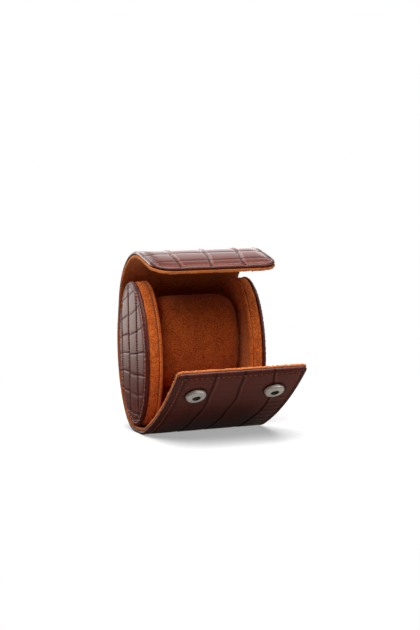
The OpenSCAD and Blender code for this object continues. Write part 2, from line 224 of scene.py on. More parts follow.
LEATHER = leather_finish("glazed_leather", base=colour(113, 43, 30), dark=colour(80, 29, 20),
                         rim=colour(88, 28, 22), ridge_highlight=colour(168, 104, 88), roughness=0.3)
print("finish:", LEATHER.name)

# %% [markdown]
# Suede is the split side of a hide: short nap, no gloss, and clouds of lighter and darker tan
# where the nap lies one way or the other. A little sheen at grazing angles does the nap, and a
# fine noise does the fibres. Where a mesh is marked `bead`, the hide was cut and its raw edge
# is paler; where it is marked `groove`, at seams and shaded edges, shade is painted in. The drums
# get a lit copy of the suede, lighter, and the band and the pillow shaded copies, darker.

# %% Suede
CUT_EDGE = colour(214, 122, 62)


def suede_finish(name, light, dark, solid=False):
    look = Finish(name)
    where = look.place(solid)
    clouds = look.noise(where, scale=1.3, detail=4.0, roughness=0.6)
    brushed = look.noise(where, scale=11.0, detail=5.0, roughness=0.75)
    fibres = look.noise(where, scale=17.0, detail=4.0, roughness=0.8)
    seam, cut = look.mark("groove"), look.mark("bead")
    nap = ((clouds - 0.5) * 0.9 + (brushed - 0.5) * 4.0 + (fibres - 0.5) * 4.2 + 0.5).clipped()
    tone = look.mix(nap, dark, light)
    tone = look.mix((cut * (brushed * 1.6 - 0.1)).clipped(), tone, CUT_EDGE)
    # Painted shade: seams and shaded edges, marked `groove`, are darkened.
    tone = look.mix((seam * 0.85).clipped(), tone, shaded_tone(dark, 0.12))
    return look.surface(
        Base_Color=tone, Roughness=0.95, Specular_IOR_Level=0.15, Sheen_Weight=0.35,
        Sheen_Roughness=0.5, Sheen_Tint=(0.9, 0.55, 0.3, 1.0),
        Normal=look.bump(fibres + brushed * 0.6, deep=0.4, strength=0.9))


# One suede in three copies: the drums get a lit copy, lighter, and the lining and the pillow shaded
# copies, darker; the difference is painted light and shade.
SUEDE = suede_finish("shaded_lining_suede", colour(194, 94, 39), colour(116, 44, 13))
LIT_DRUM_SUEDE = suede_finish("lit_drum_suede", colour(228, 117, 50), colour(142, 56, 16), solid=True)
SHADED_PILLOW_SUEDE = suede_finish("pillow_suede", colour(188, 90, 37), colour(112, 43, 13), solid=True)
print("finish:", SUEDE.name, LIT_DRUM_SUEDE.name, SHADED_PILLOW_SUEDE.name)

# %% [markdown]
# The thread is a waxed polyester in orange tan. Its twist is a band pattern that runs aslant
# over the hide, and the wax has little gloss, so that the stitches don't glitter.

# %% Thread
def thread_finish():
    look = Finish("orange_thread")
    twist = look.node("ShaderNodeTexWave", {"bands_direction": "DIAGONAL"},
                      {"Vector": look.place(), "Scale": 22.0, "Distortion": 0.6})
    tone = look.mix(twist * 0.5, colour(178, 94, 50), colour(120, 58, 30))
    return look.surface(Base_Color=tone, Roughness=0.6, Specular_IOR_Level=0.25,
                        Normal=look.bump(twist, deep=0.1, strength=0.6))


THREAD = thread_finish()
print("finish:", THREAD.name)

# %% [markdown]
# ## The route of the band
#
# Seen from the side the band is one long strip. Its route is made of arcs, each given by a length
# and a turn, and of an oval stretch that wraps the drums. The values are the same as those
# of the solids. We tabulate the route once, from the free edge of the lower flap, under
# and behind the drums, to the free edge of the upper flap.

# %% Sizes of the case
CASE_W = 82.4  # across the band
LEATHER_T, LINING_T = 2.2, 1.4
BAND_T = LEATHER_T + LINING_T
FLAT_DEPTH = 12.0  # the flat foot that the case stands on
DRUM_A, DRUM_B, DRUM_GAP = 31.2, 47.2, 0.3  # half sizes of the drums, and their room
FIT_A, FIT_B = DRUM_A + DRUM_GAP, DRUM_B + DRUM_GAP
FOOT_DIP = 0.1  # how far the oval dips into the flat foot
DRUM_Z = BAND_T + FIT_B - FOOT_DIP
JOIN_T, LEAVE_T = -75.0, 25.7  # where the band meets and leaves the oval
RISE = 14.5  # the straight stretch behind the drums
TOP_RUN = [(67.5, 87.0), (33.5, 1.5)]  # arcs of the flaps: length and turn
LOW_RUN = [(15.0, -21.0), (82.0, -20.0)]
TOP_BENDS, LOW_BENDS = (0.0, 29.0, 67.0), (0.0, 31.0, 64.0)
BROW_R, APRON_R = 13.0, 3.0  # corners of the upper and the lower flap
TOP_LEN = sum(length for length, turn in TOP_RUN)
LOW_LEN = sum(length for length, turn in LOW_RUN)
print("flaps: upper %.1f mm, lower %.1f mm" % (TOP_LEN, LOW_LEN))


# %% Arcs and the oval
STRAIGHT = 1e-3  # a turn too small to be an arc, in degrees
ROUTE_STEP = 0.25


def arc_end(p, length, turn):
    """Where an arc ends that starts at p, given as y, z and a heading in degrees."""
    y, z, heading = p
    h = math.radians(heading)
    if abs(turn) < STRAIGHT:
        return (y + length * math.cos(h), z + length * math.sin(h), heading)
    t = math.radians(turn)
    r = length / t
    return (y + r * (math.sin(h + t) - math.sin(h)), z - r * (math.cos(h + t) - math.cos(h)),
            heading + turn)


def run_points(start, run):
    """Closely set points along a run of arcs."""
    points, p = [start], start
    for length, turn in run:
        n = math.ceil(length / ROUTE_STEP)
        points += [arc_end(p, length * i / n, turn * i / n) for i in range(1, n + 1)]
        p = points[-1]
    return points


def oval_out(t):
    """A point of the band's outer face where it wraps the oval, t degrees round it."""
    n = math.atan2(math.sin(math.radians(t)) / FIT_B, math.cos(math.radians(t)) / FIT_A)
    return (FIT_A * math.cos(math.radians(t)) + BAND_T * math.cos(n),
            DRUM_Z + FIT_B * math.sin(math.radians(t)) + BAND_T * math.sin(n),
            math.degrees(n) + 90)


# %% Tabulate the route
OVAL_STEPS = 400
EXTRA = 6.0  # the table's reach past both free edges
join = oval_out(JOIN_T)
foot_r = join[1] / (1 - math.cos(math.radians(join[2])))
DRUM_Y = FLAT_DEPTH / 2 + foot_r * math.sin(math.radians(join[2])) - join[0]
low_path = run_points((-FLAT_DEPTH / 2, 0.0, 180.0), LOW_RUN)
foot_path = run_points((-FLAT_DEPTH / 2, 0.0, 0.0),
                       [(FLAT_DEPTH, 0.0), (foot_r * math.radians(join[2]), join[2])])
oval_path = [(y + DRUM_Y, z, h) for y, z, h in
             (oval_out(JOIN_T + (LEAVE_T - JOIN_T) * i / OVAL_STEPS)
              for i in range(1, OVAL_STEPS + 1))]
rise_path = run_points(oval_path[-1], [(RISE, 0.0)])[1:]
top_path = run_points(rise_path[-1], TOP_RUN)[1:]
route = [(y, z, h - 180) for y, z, h in reversed(low_path)] + foot_path[1:]
route += oval_path + rise_path + top_path
route.insert(0, arc_end(route[0], -EXTRA, 0.0))
route.append(arc_end(route[-1], EXTRA, 0.0))
ROUTE_Y, ROUTE_Z, ROUTE_H = (np.array(c) for c in zip(*route))
ROUTE_S = np.concatenate([[0.0], np.cumsum(np.hypot(np.diff(ROUTE_Y), np.diff(ROUTE_Z)))]) - EXTRA
BAND_LEN = ROUTE_S[-1] - EXTRA
SHELL_END = BAND_LEN - TOP_LEN
print("band: %.1f mm long, drums centred at y %.2f, z %.2f" % (BAND_LEN, DRUM_Y, DRUM_Z))


def on_band(x, s, h):
    """Points of the case at x across the band, s along it and h out of its outer face, in mm."""
    y = np.interp(s, ROUTE_S, ROUTE_Y)
    z = np.interp(s, ROUTE_S, ROUTE_Z)
    a = np.radians(np.interp(s, ROUTE_S, ROUTE_H))
    return np.stack([x + 0 * y, y + h * np.sin(a), z - h * np.cos(a)], axis=-1)

# %% [markdown]
# ## Meshes from grids
#
# Leather and lining are both made from a grid that lies on the band and rolls over its edges.
# The grid is drawn on a flat plan with rounded corners, then bent along the route. One mesh
# can bend only across one joint, so the band is cut across into pieces in the middle of
# each stiff stretch. Normals are worked out on the whole band first and handed to the pieces,
# so that the cuts can't be seen.

# %% From points to an object
def put(name, data):
    """A new object in the scene, with its place at the origin."""
    made = bpy.data.objects.new(name, data)
    bpy.context.scene.collection.objects.link(made)
    return made


def new_object(name, points, faces, finish, normals=None, flat=None, marks=None):
    """A smooth mesh from points in mm, with its UV map in cm and its named marks."""
    used, index = np.unique(faces, return_inverse=True)
    index = index.reshape(faces.shape)
    mesh = bpy.data.meshes.new(name)
    mesh.from_pydata((points[used] * MM).tolist(), [], index.tolist())
    mesh.shade_smooth()
    if flat is not None:
        layer = mesh.uv_layers.new(name="flat")
        places = (flat[used] / (CM / MM))[index.ravel()]
        layer.data.foreach_set("uv", places.astype(np.float32).ravel())
    for key in MARKS:
        values = (marks or {}).get(key)
        if values is None:
            values = np.zeros(len(points))
        layer = mesh.attributes.new(key, "FLOAT", "POINT")
        layer.data.foreach_set("value", values[used].astype(np.float32))
    if normals is not None:
        mesh.normals_split_custom_set_from_vertices(normals[used].tolist())
    mesh.materials.append(finish)
    made = put(name, mesh)
    return made


def vertex_normals(points, faces):
    """The normal of each point: the sum of the normals of the quads round it."""
    a, b, c, d = (points[faces[:, k]] for k in range(4))
    across = np.cross(c - a, d - b)
    total = np.zeros_like(points)
    for k in range(4):
        np.add.at(total, faces[:, k], across)
    return total / np.maximum(np.linalg.norm(total, axis=1, keepdims=True), 1e-12)


def grid_faces(rows, columns):
    """The quads between the points of a grid, by their numbers."""
    i, j = np.meshgrid(np.arange(rows - 1), np.arange(columns - 1), indexing="ij")
    k = (i * columns + j).ravel()
    return np.stack([k, k + 1, k + columns + 1, k + columns], axis=1)

# %% [markdown]
# Most of the relief is made of two shapes: a soft hump or groove along a line, and a straight
# ramp. Two helpers give them, so that the relief reads as a list of what is pressed where.

# %% A hump and a ramp
def hump(away, width):
    """1 on a line and nearly 0 beyond twice the width from it."""
    return np.exp(-(away / width) ** 2)


def ramp(distance, length):
    """0 up to where the distance is 0, then a straight rise to 1 over the length."""
    return np.clip(distance / length, 0, 1)


# %% The plan of the band
LOW_CORNER_ROWS, HIGH_CORNER_ROWS, ROLL_STEPS = 8, 22, 8


def half_width(s, inset):
    """Half the width of the band at s, with its four corners rounded, inside a margin."""
    w = np.full_like(s, CASE_W / 2 - inset)
    for away, corner in ((s, APRON_R), (BAND_LEN - s, BROW_R)):
        r = corner - inset
        into = np.clip(away - inset, 0, r)
        w = w - (r - np.sqrt(np.maximum(r * r - (r - into) ** 2, 0)))
    return w


def edge_distance(x, s):
    """How far a point of the plan lies inside the edge of the band."""
    near = []
    for away, r in ((s, APRON_R), (BAND_LEN - s, BROW_R)):
        qx = np.abs(x) - CASE_W / 2 + r
        qs = r - away
        outside = np.hypot(np.maximum(qx, 0), np.maximum(qs, 0))
        near.append(r - outside - np.minimum(np.maximum(qx, qs), 0))
    return np.minimum(*near)


def row_places(step, inset):
    """Places of the rows: even along the band, and closer together round the corners."""
    quarter = np.pi / 2
    low = inset + (APRON_R - inset) * (1 - np.cos(np.linspace(0, quarter, LOW_CORNER_ROWS)))
    high = BAND_LEN - inset - (BROW_R - inset) * (
        1 - np.cos(np.linspace(quarter, 0, HIGH_CORNER_ROWS)))
    n = round((high[0] - low[-1]) / step)
    return np.concatenate([low[:-1], np.linspace(low[-1], high[0], n), high[1:]])


# %% A skin on the plan
def band_grid(step, columns, inset, depth, roll, shift):
    """Plan coordinates of a skin of the band: x, s and h, with rolled edges all round.

    The face lies at the given depth under the outer side, and the edge rolls by half a turn
    of radius roll, upwards or downwards by the sign of shift."""
    s = row_places(step, inset)
    turns = np.linspace(0, np.pi, ROLL_STEPS + 1)[1:]
    k = len(turns)
    w = half_width(s, inset)
    u = np.linspace(-1, 1, columns)
    rows, cols = len(s) + 2 * k, columns + 2 * k
    x, along, h = (np.zeros((rows, cols)) for _ in range(3))
    slope = np.gradient(w, s)
    norm = np.hypot(1.0, slope)
    nx, ns = 1 / norm, -slope / norm
    ns[0], nx[0], ns[-1], nx[-1] = -1.0, 0.0, 1.0, 0.0
    body = slice(k, k + len(s))
    x[body, k:-k] = w[:, None] * u
    along[body, k:-k] = s[:, None]
    for i, t in enumerate(turns):
        reach, drop = roll * np.sin(t), shift * roll * (1 - np.cos(t))
        for side, col in ((-1, k - 1 - i), (1, cols - k + i)):
            x[body, col] = side * (w + nx * reach)
            along[body, col] = s + ns * reach
            h[body, col] = drop
        for end, row, place in ((-1, k - 1 - i, s[0]), (1, rows - k + i, s[-1])):
            x[row, k:-k] = w[0 if end < 0 else -1] * u
            along[row, k:-k] = place + end * reach
            h[row, k:-k] = drop
    faces = grid_faces(rows, cols)
    i, j = faces[:, 0] // cols, faces[:, 0] % cols
    corner = ((i < k) | (i >= rows - k - 1)) & ((j < k) | (j >= cols - k - 1))
    return x, along, h - depth, faces[~corner]

# %% [markdown]
# ## The embossing
#
# The scales are large and nearly rectangular. Three long grooves run the length of the band and
# wander a little, and shallow creases cross each column at its own places. Each scale
# swells slightly between them. The relief is a height in millimetres, worked out on the plan.
# On the upper flap the creases are wide, shallow and straight; on the lower flap they are close,
# uneven, and mostly pressed flat.

# %% Where the grooves and creases run
# Places along the band, and where each groove lies across it there.
GROOVE_S = [0, 35, 55, 100, 170, 240, BAND_LEN - 35, BAND_LEN]
LONG_GROOVES = [
    [-17.4, -14.8, -15.5, -18.0, -19.5, -21.0, -22.4, -24.6],
    [0.8, 3.4, 2.6, 0.0, 1.0, 1.5, 1.2, -4.6],
    [19.6, 27.0, 26.0, 22.0, 20.0, 21.5, 23.0, 17.2],
]
COLUMNS = len(LONG_GROOVES) + 1
SOFTEN, SOFTEN_STEPS = 14.0, 15
# Places along the band, and how far apart the creases are there.
PITCH_S = [0, 90, 130, SHELL_END, BAND_LEN - 50, BAND_LEN]
PITCHES = [6.7, 6.9, 11.5, 13.0, 16.0, 16.0]
LAST_CREASE, LAST_COUNT = 11.0, 60
COLUMN_SHIFT = [0.12, 0.55, 0.3, 0.8]
CREASES = 64
rng = np.random.default_rng(7)
JITTER = rng.uniform(-0.16, 0.16, (COLUMNS, CREASES))
LEAN = rng.uniform(-0.05, 0.05, (COLUMNS, CREASES))


def smooth_through(places, values, at):
    """A smooth line through a few values: straight joins, softened by averaging."""
    reach = np.linspace(-SOFTEN, SOFTEN, SOFTEN_STEPS)
    weight = np.cos(reach / SOFTEN * np.pi / 2) ** 2
    total = sum(w * np.interp(at + d, places, values) for d, w in zip(reach, weight))
    return total / weight.sum()


def crease_phase(s):
    """Counts the cross creases along the band: close on the lower flap, wide on the upper."""
    places = np.linspace(0, BAND_LEN, 600)
    pitch = np.interp(places, PITCH_S, PITCHES)
    count = np.concatenate([[0], np.cumsum(np.diff(places) / pitch[:-1])])
    count = count + LAST_COUNT - np.interp(BAND_LEN - LAST_CREASE, places, count)
    return np.interp(s, places, count), np.interp(s, places, pitch)


print("long grooves:", len(LONG_GROOVES), "columns of scales:", COLUMNS)


# %% How near a crease is, and how strong
FAR = 99.0
LOOSER = 0.88


def nearest_crease(x, s, lines, column, upper):
    """How far each point lies from the next crease across its own column of scales."""
    count, pitch = crease_phase(s)
    loose = 1 - LOOSER * upper
    nearest = np.full_like(x, FAR)
    for c in range(COLUMNS):
        low = lines[c - 1] if c else -CASE_W / 2 + 0 * x
        high = lines[c] if c < COLUMNS - 1 else CASE_W / 2 + 0 * x
        across = (x - (low + high) / 2) / np.maximum(high - low, 1)
        for near in (0, 1):
            shift = COLUMN_SHIFT[c] * loose
            m = np.clip(np.floor(count + shift).astype(int) + near, 0, CREASES - 1)
            place = m - shift + (JITTER[c, m] + across * LEAN[c, m] * 4) * loose
            away = np.abs(count + 0.10 * across ** 2 * loose - place) * pitch
            nearest = np.where(column == c, np.minimum(nearest, away), nearest)
    return nearest


def crease_strength(s, column):
    """1 on most of the band. On the lower flap only the right column keeps its creases."""
    on_low = ramp(LOW_LEN - s, 30)
    at_right = ramp(s - 18, 14) * 0.9
    quiet = np.choose(column, [0.22, 0.12, 0.16, at_right])
    return 1 - on_low * (1 - quiet)


# %% Height of the scales
UPPER_LEN, UPPER_BLEND = 70, 15  # the last stretch, where all is wide and shallow
WANDER, WANDER_LEN = 0.35, 5.3
GROOVE_W, GROOVE_DEPTH = 0.72, 0.7
CREASE_W, CREASE_DEPTH, CREASE_EASES = 0.4, 0.28, 0.14
SWELL_LONG, SWELL_LONG_IN = 0.22, 2.4  # how high a scale swells, and how far from a groove
SWELL_CROSS, SWELL_CROSS_IN = 0.06, 1.8  # the same, from a crease
MARGIN_X, MARGIN_W, MARGIN_DEPTH = -35.9, 0.8, 0.35
RIDGE_AT, RIDGE_W = 1.35, 0.5


def scales(x, s):
    """Height of the embossing, how deep in a groove a point lies, and how high on a ridge."""
    lines = [smooth_through(GROOVE_S, values, s) + WANDER * np.sin(s / WANDER_LEN + k * 2.0)
             for k, values in enumerate(LONG_GROOVES)]
    gap = np.min([np.abs(x - line) for line in lines], axis=0)
    beside = np.max([hump(x - line - RIDGE_AT, RIDGE_W) for line in lines], axis=0)
    column = np.sum([x > line for line in lines], axis=0)
    upper = ramp(s - BAND_LEN + UPPER_LEN, UPPER_BLEND)
    groove = hump(gap / GROOVE_W, 0.8 + 0.25 * upper)
    nearest = nearest_crease(x, s, lines, column, upper)
    strength = crease_strength(s, column)
    crease = hump(nearest / CREASE_W, 1.3 + 1.3 * upper) * strength
    swell = ((1 - np.exp(-gap / SWELL_LONG_IN)) * SWELL_LONG
             + (1 - np.exp(-nearest / SWELL_CROSS_IN)) * SWELL_CROSS * strength)
    margin = hump(x - MARGIN_X - 0.3 * np.sin(s / 4.5), MARGIN_W) * (0.65 + 0.35 * np.sin(s * 2.1))
    height = (swell - GROOVE_DEPTH * groove - (CREASE_DEPTH - CREASE_EASES * upper) * crease
              - MARGIN_DEPTH * margin)
    ridge = np.clip(beside - groove, 0, 1) * (0.4 + 0.6 * upper)
    return height, np.max([groove, 0.85 * crease, margin], axis=0), ridge

# %% [markdown]
# The edge of the leather is turned under and pressed into a bead, and a seam runs in a shallow
# channel behind it. Round each press stud the leather is pulled into a small dish, and under
# its cap there is no embossing.

# %% Relief of the edge
# Each part of the edge by how far in it lies, and how high or deep it is.
BEAD_W, BEAD_TOP, BEAD_H = 2.3, 1.3, 0.30
BEHIND_BEAD, PINCH_DEPTH = BEAD_W + 0.3, 0.14
SEAM_IN, SEAM_W, SEAM_DEPTH = 3.9, 0.55, 0.22
STEP_UP = 0.10
SNAP_X, SOCKET_S = 25.3, 21.5
DISH_FLAT, DISH_FADE, DISH_R, DISH_DEPTH = 6.2, 2.2, 6.9, 0.32


def edge_relief(inside):
    """The bead, the pinch behind it, the seam's channel and the step up to the scales."""
    bead = BEAD_H * hump(inside - BEAD_TOP, 0.8) - PINCH_DEPTH * hump(inside - BEHIND_BEAD, 0.45)
    channel = -SEAM_DEPTH * hump(inside - SEAM_IN, SEAM_W)
    step = STEP_UP * ramp(inside - SEAM_IN - 0.6, 1.2)
    return bead + channel + step


def snap_dish(x, s):
    """1 away from the press studs and 0 under their caps, and the depth of the dish."""
    r = np.minimum(np.hypot(x - SNAP_X, s - SOCKET_S), np.hypot(x + SNAP_X, s - SOCKET_S))
    return ramp(r - DISH_FLAT, DISH_FADE), -DISH_DEPTH * hump(r - DISH_R, 0.7)

# %% [markdown]
# Now the leather itself: the grid of the band, raised by its relief. The relief fades where the
# edge rolls under. The upper flap is also crowned a little behind its lip, as thick leather is
# that has been bent back, so that its gloss fades softly from one edge to the other.

# %% Leather of the band
EDGE_ROLL = 1.1
LEATHER_SINK = 0.28  # how far the relief lies under the solid's face
LIP_CROWN, CROWN_START, CROWN_LEN, CROWN_RISE = 1.0, 3, 42, 8
FADE_FROM, FADE_OVER, FADE_POWER = 0.6, 5.2, 0.7
x, s, h, faces = band_grid(step=0.62, columns=150, inset=EDGE_ROLL, depth=0.0, roll=EDGE_ROLL,
                           shift=-1)
inside = edge_distance(x, s)
height, groove, ridge = scales(x, s)
fade = ramp(inside - FADE_FROM, FADE_OVER) ** FADE_POWER
off_snap, dish = snap_dish(x, s)
relief = ((height * (0.5 + 0.5 * fade) + 0.5 * ridge * fade) * off_snap + edge_relief(inside)
          + dish - LEATHER_SINK)
on_top = ramp(h + EDGE_ROLL, EDGE_ROLL)
from_lip = ramp(BAND_LEN - s - CROWN_START, CROWN_LEN)
relief = relief + LIP_CROWN * 4 * from_lip * (1 - from_lip) * ramp(inside, CROWN_RISE)
points = on_band(x, s, h + relief * on_top).reshape(-1, 3)
faces = faces[:, ::-1]
normals = vertex_normals(points, faces)
BAND_FLAT = np.stack([x, s], axis=-1).reshape(-1, 2)
print("leather grid:", points.shape[0], "points")

# %% Marks of the leather
# groove_shade marks where shade is painted: grooves, creases, the margin line, the seam channel and
# the pinch behind the bead; ridge marks where the painted highlight lies.
groove_shade = groove * (0.8 + 0.2 * fade) * off_snap + 0.35 * hump(inside - SEAM_IN, 0.5)
groove_shade = groove_shade + 0.8 * hump(inside - BEHIND_BEAD, 0.35) * on_top
groove_shade = np.clip(groove_shade - 2.2 * dish, 0, 1)
bead_mark = np.clip(1 - (inside - 1.8) / 1.0, 0, 1)
band_marks = {"groove": groove_shade.ravel(), "bead": bead_mark.ravel(),
              "ridge": (ridge * fade * off_snap).ravel()}
print("in a groove: %.0f %% of the points" % (100 * (groove_shade > 0.5).mean()))

# %% [markdown]
# The band is cut in the middle of each stiff stretch, into one piece round each joint.

# %% Cut the band at the middle of its stiff stretches
PAST_END = 9.0  # rolled edges reach a little past the ends
BEND_REACH = 10.0
LOW_S = [LOW_LEN - bend for bend in LOW_BENDS]
TOP_S = [SHELL_END + bend for bend in TOP_BENDS]
JOINTS = [  # piece, the bodies before and after its joint, where the joint is, and which way
    ("low_front", "low_b", "low_c", LOW_S[2], -1),
    ("low_middle", "low_a", "low_b", LOW_S[1], -1),
    ("bottom", "case", "low_a", LOW_S[0], -1),
    ("back", "case", "top_a", TOP_S[0], 1),
    ("top_middle", "top_a", "top_b", TOP_S[1], 1),
    ("top_front", "top_b", "top_c", TOP_S[2], 1),
]
joint_places = [joint_s for name, before, after, joint_s, way in JOINTS]
cuts = [(a + b) / 2 for a, b in zip(joint_places, joint_places[1:])]
PIECES = [(name, start, end, before, after, joint_s, way) for
          (name, before, after, joint_s, way), start, end in
          zip(JOINTS, [-PAST_END, *cuts], [*cuts, BAND_LEN + PAST_END])]


def bend_piece(piece, joint_s, way):
    ends = [on_band(0.0, joint_s + way * reach, -BAND_T / 2) for reach in (-BEND_REACH, BEND_REACH)]
    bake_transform(piece)


def cut_band(prefix, finish, points, faces, flat, normals, marks, nodes):
    """One mesh for each piece of the band, in place of its nodes."""
    rows = flat[:, 1][faces].mean(axis=1)
    for name, start, end, before, after, joint_s, way in PIECES:
        chosen = faces[(rows >= start) & (rows < end)]
        piece = new_object(prefix + "_" + name, points, chosen, finish, normals, flat, marks)
        bend_piece(piece, joint_s, way)
        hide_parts(*nodes[name])
        print(piece.name, len(chosen), "faces")


cut_band("leather", LEATHER, points, faces, BAND_FLAT, normals, band_marks,
         {"low_front": ["low_leather_c"], "low_middle": ["low_leather_b"],
          "bottom": ["low_leather_a"], "back": ["shell_leather", "top_leather_a"],
          "top_middle": ["top_leather_b"], "top_front": ["top_leather_c"]})

# %% [markdown]
# ## The suede lining
#
# The lining is a split hide, 1.4 mm thick, glued to the back of the leather and trimmed flush
# with it. Its cut edge is raw and fuzzy and shows as a paler line round both flaps, so the
# rolled edge of this grid is roughened, flared downwards by a few tenths of a millimetre,
# more on the upper flap, and marked `bead`, which the finish paints paler.

# %% Shape of the lining
RAW_EDGE = 1.5
FUZZ_WAVE, FUZZ = 0.12, 0.16
PILE_WAVE, PILE, PILE_T = 0.10, 0.04, 0.12
FLAP_EDGE, FLAP_BLEND = 30, 25  # from where the lining counts as a flap's
SEAM_PULL, SEAM_PULL_W = 0.22, 0.8
FLARE_ALL, FLARE_UPPER, FLARE_ROUGH = 0.15, 0.4, 0.22
x, s, h, faces = band_grid(step=0.75, columns=90, inset=0.65, depth=BAND_T, roll=LINING_T / 2,
                           shift=1)
inside = edge_distance(x, s)
fuzz = FUZZ_WAVE * np.sin(s * 1.9 + x * 2.3) + FUZZ * rng.standard_normal(x.shape)
on_edge = np.clip(1.1 - inside / 0.6, 0, 1)
side = np.sign(x) * (np.abs(x) > CASE_W / 2 - RAW_EDGE)
tip = 1.0 * (s > BAND_LEN - RAW_EDGE) - 1.0 * (s < RAW_EDGE)
x = x + side * fuzz * on_edge
s = s + tip * fuzz * on_edge
wave = PILE_WAVE * np.sin(x / 9 + s / 21) * np.sin(s / 13)
wave = wave + PILE * rng.standard_normal(x.shape)
on_flap = 1 - (ramp(s - LOW_LEN + FLAP_EDGE, FLAP_BLEND)
               * ramp(SHELL_END + FLAP_BLEND - s, FLAP_BLEND))
seam_pull = SEAM_PULL * hump(inside - SEAM_IN, SEAM_PULL_W)
flare = FLARE_ALL + FLARE_UPPER * (s > SHELL_END) + FLARE_ROUGH * rng.standard_normal(x.shape)
flare = flare * on_flap * np.clip(1.4 - inside / 0.7, 0, 1) * (h < -BAND_T + 0.7)
lift = (wave + seam_pull + PILE_T) * (h < -BAND_T + 0.05)
lining_points = on_band(x, s, h - flare + lift).reshape(-1, 3)
lining_flat = np.stack([x, s], axis=-1).reshape(-1, 2)
print("lining grid:", lining_points.shape[0], "points")

# %% Cut the lining
# Painted shade: the seam line, and the edge along the back stretch, are marked `groove` and
# darkened; the paler raw edge is kept to the flaps, as the back edge lies in shade.
lining_marks = {
    "bead": (np.clip(1.3 - inside / 0.9, 0, 1) * on_flap).ravel(),
    "groove": np.clip(1.2 * seam_pull + 0.35 * on_edge * (1 - on_flap), 0, 1).ravel()}
cut_band("lining", SUEDE, lining_points, faces, lining_flat,
         vertex_normals(lining_points, faces), lining_marks,
         {"low_front": ["low_lining_c"], "low_middle": ["low_lining_b"],
          "bottom": ["low_lining_a"], "back": ["shell_lining", "top_lining_a"],
          "top_middle": ["top_lining_b"], "top_front": ["top_lining_c"]})

# %% [markdown]
# ## The seam
#
# A lockstitch runs round the band 3.9 mm inside its edge. Each stitch is a short tapered strand
# with its ends pulled down into the needle holes. The seam line is walked along the plan, so
# that the stitches are evenly spaced round the corners, and each stitch is
# bent onto the route like the leather.

# %% The line of the seam
LEAST_R, CORNER_POINTS = 0.6, 19


def rounded_line(length, inset, half):
    """The seam line on the plan, anticlockwise from the middle of the lower edge."""
    r_low, r_high = max(APRON_R - inset, LEAST_R), max(BROW_R - inset, LEAST_R)
    low, high = inset, length - inset
    w = half - inset
    line = [(0.0, low)]
    corners = [(w - r_low, low + r_low, r_low, -90), (w - r_high, high - r_high, r_high, 0),
               (-w + r_high, high - r_high, r_high, 90), (-w + r_low, low + r_low, r_low, 180)]
    for cx, cs, r, begin in corners:
        for turn in np.radians(np.linspace(begin, begin + 90, CORNER_POINTS)):
            line.append((cx + r * math.cos(turn), cs + r * math.sin(turn)))
    line.append((0.0, low))
    return np.array(line)


def evenly(line, pitch):
    """The run along a line, and the middles of a whole number of stitches on it."""
    step = np.linalg.norm(np.diff(line, axis=0), axis=1)
    run = np.concatenate([[0], np.cumsum(step)])
    count = round(run[-1] / pitch)
    return run, (np.arange(count) + 0.5) * run[-1] / count


seam_line = rounded_line(BAND_LEN, SEAM_IN, CASE_W / 2)
print("seam line:", len(seam_line), "points")

# %% One stitch, and a row of them
STITCH, STITCH_GAP, STITCH_R = 2.3, 1.1, 0.33
STRAND_ROWS, STRAND_AROUND = 9, 8
TANGENT = 0.5


def rolled_faces(rows, around):
    """The quads of a grid whose last column meets its first."""
    i, j = np.divmod(grid_faces(rows, around + 1), around + 1)
    return i * around + j % around


def strand():
    """A unit strand along u from -0.5 to 0.5: places along, across and up, and its faces."""
    u = np.linspace(-0.5, 0.5, STRAND_ROWS)
    fat = np.maximum(1 - (2 * np.abs(u)) ** 4, 0.05) ** 0.5
    turn = np.linspace(0, 2 * np.pi, STRAND_AROUND, endpoint=False)
    across = fat[:, None] * np.cos(turn)
    up = fat[:, None] * np.sin(turn) - (2 * np.abs(u[:, None])) ** 3 * 0.8
    faces = rolled_faces(STRAND_ROWS, STRAND_AROUND)
    return np.repeat(u[:, None], STRAND_AROUND, axis=1), across, up, faces


def seam_strands(line):
    """Every stitch of a seam: places across and along the plan, and heights over it."""
    run, centres = evenly(line, STITCH + STITCH_GAP)
    u, across, up, faces = strand()
    made = []
    for centre in centres:
        tilt = rng.normal(0, 0.05)
        place = centre + u * STITCH
        px = np.interp(place, run, line[:, 0])
        ps = np.interp(place, run, line[:, 1])
        before, after = (np.array([np.interp(centre + reach, run, line[:, k]) for k in (0, 1)])
                         for reach in (-TANGENT, TANGENT))
        d = (after - before) / np.linalg.norm(after - before)
        side = across * STITCH_R + u * STITCH * tilt
        made.append((px + d[1] * side, ps - d[0] * side, up * STITCH_R))
    return made, faces


def joined(strands, faces):
    """The stitches as one set of places across, along and up, and of faces."""
    size = strands[0][0].size
    across, along, up = (np.concatenate([c[k].ravel() for c in strands]) for k in range(3))
    return across, along, up, np.concatenate([faces + i * size for i in range(len(strands))])


# %% Stitches of the band
SEAM_SINK = 0.18
strands, strand_faces = seam_strands(seam_line)
for name, start, end, before, after, joint_s, way in PIECES:
    mine = [c for c in strands if start <= c[1].mean() < end]
    px, ps, pu, seam_faces = joined(mine, strand_faces)
    piece = new_object("seam_" + name, on_band(px, ps, pu - SEAM_SINK), seam_faces, THREAD,
                       flat=np.stack([px, ps], axis=-1))
    bend_piece(piece, joint_s, way)
    print(piece.name, len(mine), "stitches")

# %% [markdown]
# ## The drums
#
# Each end of the case is closed by an oval drum: a turned and crowned leather panel outside, a
# suede wall round it and a suede face inside. They are all skins over an oval, so one helper
# makes them: it takes the profile as pairs of inset and x, and sweeps it round the oval, then
# closes it towards the centre.

